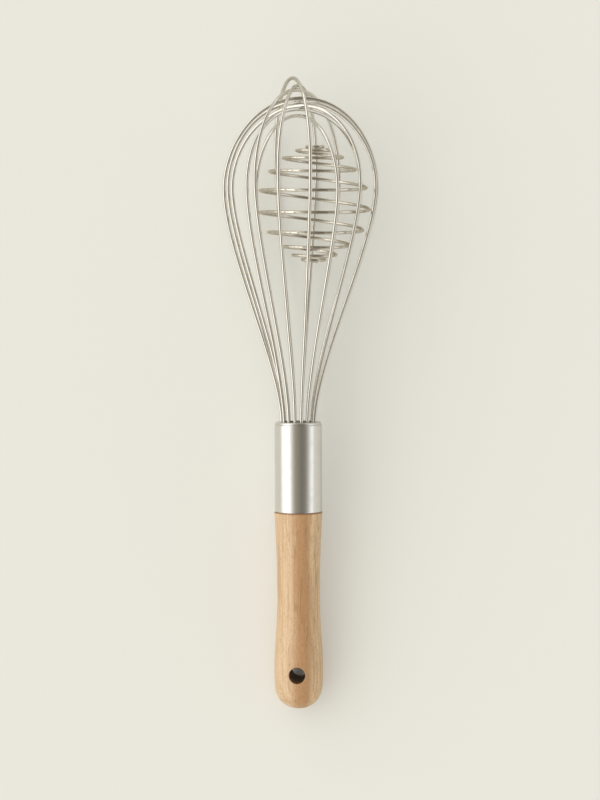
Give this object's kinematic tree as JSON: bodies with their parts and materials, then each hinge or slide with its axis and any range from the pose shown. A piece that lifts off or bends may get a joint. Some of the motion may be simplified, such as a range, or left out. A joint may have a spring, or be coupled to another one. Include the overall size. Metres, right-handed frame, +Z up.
{
  "type": "balloon whisk",
  "caption": "Balloon whisk with a turned beech handle, a steel ferrule, a cage of wire loops and a loose spiral-wire ball inside the cage.",
  "frame": {"origin": "on the table under the middle of the whisk's bounding box, as it lies at rest on its lowest wires and on the swell of its handle", "axes": "+Z up from the table, +Y along the table from the butt to the crown, +X to the right seen from above; the whisk's own axis rises 5.8 degrees towards the crown"},
  "size_m": [0.074, 0.2987, 0.0726],
  "materials": {
    "beech": "satin oiled beech with fine short pores along the handle",
    "ferrule_steel": "satin stainless steel, brushed round the tube",
    "cap_steel": "pressed stainless steel with a smooth rounded rim",
    "wire_steel": "drawn stainless wire, softly polished",
    "ball_steel": "coiled stainless wire, a little duller than the loops",
    "filler": "cast filler, matt"
  },
  "bodies": {
    "whisk": {"handle": "beech", "ferrule": "ferrule_steel", "end_cap": "cap_steel", "wire_plug": "filler", "wire_loop_1": "wire_steel", "wire_loop_2": "wire_steel", "wire_loop_3": "wire_steel", "wire_loop_4": "wire_steel", "wire_loop_5": "wire_steel", "wire_loop_6": "wire_steel", "wire_loop_7": "wire_steel", "wire_loop_8": "wire_steel"},
    "ball": {"whisk_ball": "ball_steel"}
  },
  "joints": [
    {"name": "ball_run", "type": "slide", "parent": "whisk", "child": "ball", "axis": [-0.4378, -0.8945, -0.0905], "range_m": [0, 0.017]}
  ]
}
